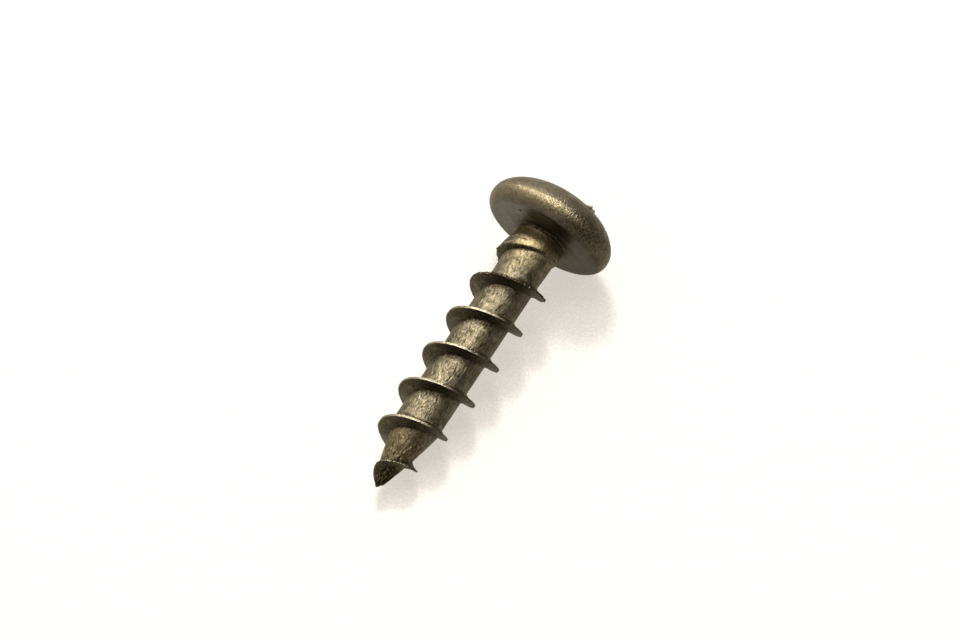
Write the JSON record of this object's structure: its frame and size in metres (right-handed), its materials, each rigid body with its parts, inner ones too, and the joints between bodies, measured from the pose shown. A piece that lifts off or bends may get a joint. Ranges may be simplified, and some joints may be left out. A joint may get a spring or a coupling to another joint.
{
  "type": "wood screw",
  "caption": "Short pan-head wood screw with a cross recess, a coarse right-hand thread along almost its whole shank and a sharp gimlet point.",
  "frame": {"origin": "centre of the flat bearing face under the head, on the screw's axis", "axes": "+Z runs along the screw's axis from the point to the head; X and Y are square to it, and the recess's first wing lies 8 degrees from +X"},
  "size_m": [0.0076, 0.0076, 0.0204],
  "materials": {
    "plated_head": "satin, thin yellow-brown plating over cold-headed steel",
    "rolled_shank": "satin, the same plating over a rolled surface with fine marks along the axis"
  },
  "bodies": {
    "root": {"head": "plated_head", "neck": "plated_head", "core": "rolled_shank", "thread": "rolled_shank", "point": "rolled_shank"}
  },
  "joints": []
}
